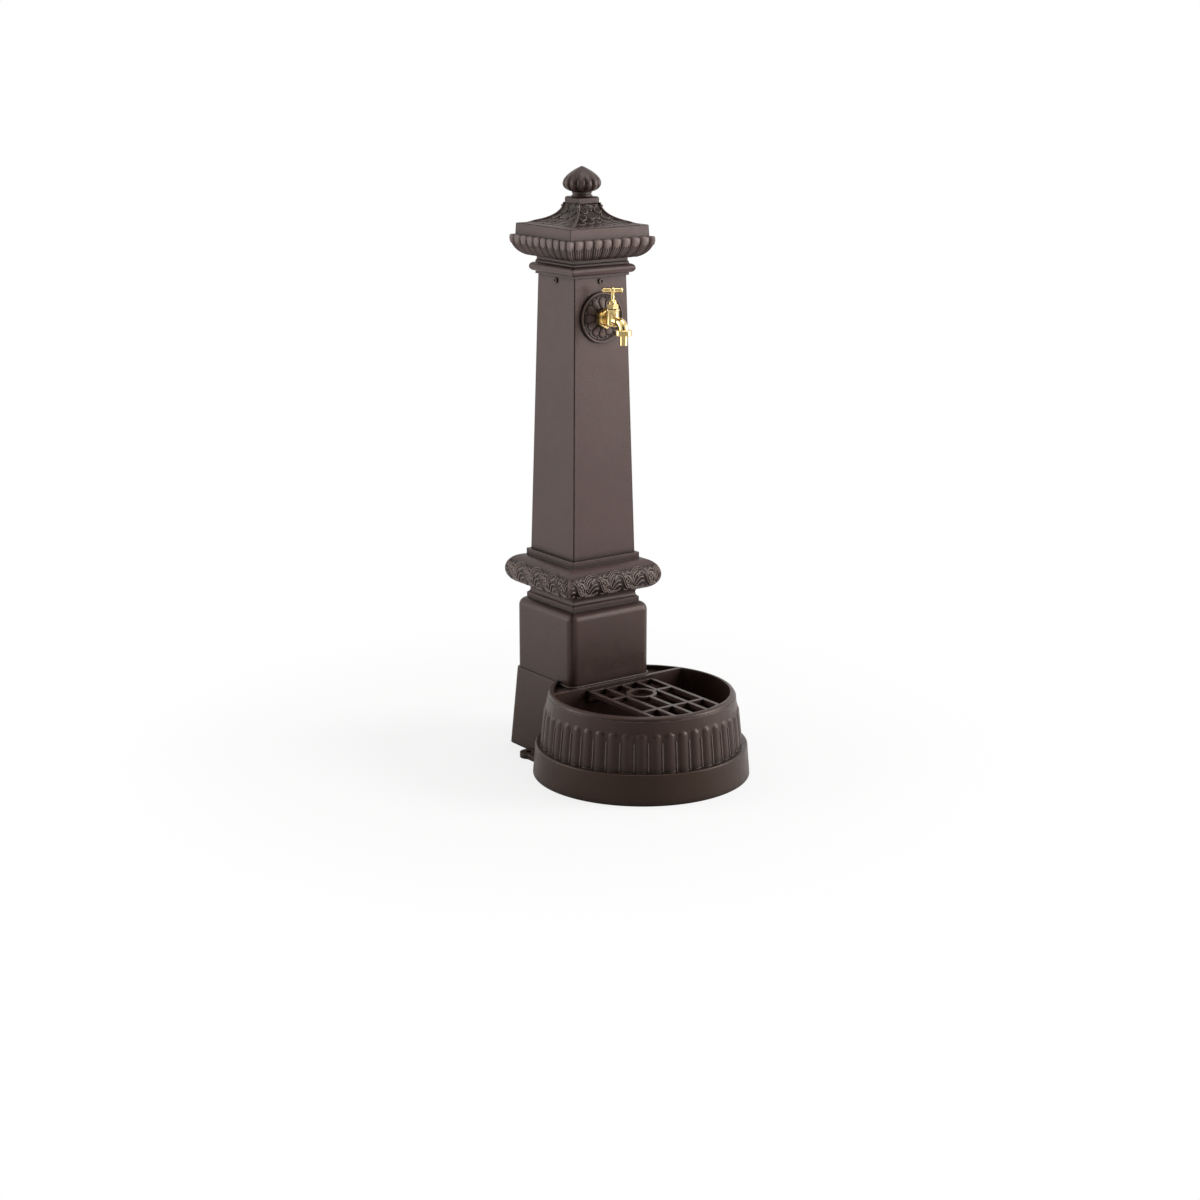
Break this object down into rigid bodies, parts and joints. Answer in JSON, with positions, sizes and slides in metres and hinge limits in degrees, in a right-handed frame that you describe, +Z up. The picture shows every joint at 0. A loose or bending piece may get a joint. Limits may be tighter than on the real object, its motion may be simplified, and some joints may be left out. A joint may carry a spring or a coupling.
{
  "type": "column fountain",
  "caption": "Square cast-iron column fountain with a round reeded basin, a lift-out bucket grate and a brass bib tap with T handle.",
  "frame": {"origin": "on the column's vertical axis, at the floor under the plinth, midway between the two floor lugs' holes", "axes": "+Z up along the column, -Y to the tap and basin side, +X to the right for someone who faces the tap, looking along +Y"},
  "size_m": [0.4398, 0.5394, 1.1995],
  "materials": {
    "iron_paint": "satin dark brown-grey paint",
    "polished_brass": "polished",
    "zinc_steel": "zinc plated",
    "black_rubber": "matte"
  },
  "bodies": {
    "root": {"base_casting": "iron_paint", "pedestal": "iron_paint", "shaft_plate_front": "iron_paint", "shaft_plate_right": "iron_paint", "shaft_plate_back": "iron_paint", "shaft_plate_left": "iron_paint", "capital": "iron_paint", "roof": "iron_paint", "finial": "iron_paint", "tie_rod": "zinc_steel", "tie_bridge": "zinc_steel", "tie_nut": "zinc_steel", "plate_screws": "zinc_steel", "pedestal_bolts": "zinc_steel", "pedestal_nuts": "zinc_steel", "rosette": "iron_paint", "back_nut": "polished_brass", "tap_body": "polished_brass", "lock_nut": "polished_brass", "tail_washer": "black_rubber", "inlet_elbow": "polished_brass", "riser_pipe": "zinc_steel", "inlet_adaptor": "polished_brass", "riser_bracket": "zinc_steel", "riser_collar": "zinc_steel", "bracket_bolts": "zinc_steel", "bonnet": "polished_brass", "bonnet_gasket": "black_rubber", "gland_nut": "polished_brass", "gland_packing": "black_rubber", "union_nut": "polished_brass", "hose_tail": "polished_brass", "hose_washer": "black_rubber", "drain_strainer": "polished_brass", "drain_seal": "black_rubber"},
    "valve": {"jumper_valve": "polished_brass", "seat_washer": "black_rubber", "washer_nut": "polished_brass"},
    "handle": {"spindle": "polished_brass", "handle_bar": "polished_brass"},
    "grate": {"grate": "iron_paint"}
  },
  "joints": [
    {"name": "valve_lift", "type": "slide", "parent": "root", "child": "valve", "axis": [0, 0, 1], "range_m": [0, 0.0045]},
    {"name": "handle_turn", "type": "hinge", "parent": "valve", "child": "handle", "pos_m": [0, -0.103, 0.965], "axis": [0, 0, 1], "range_deg": [0, 900]},
    {"name": "grate_lift", "type": "slide", "parent": "root", "child": "grate", "axis": [0, 0, 1], "range_m": [0, 0.15]}
  ],
  "couplings": [
    {"joint": "handle_turn", "follows": "valve_lift", "rad_per_m": 3490.7}
  ]
}
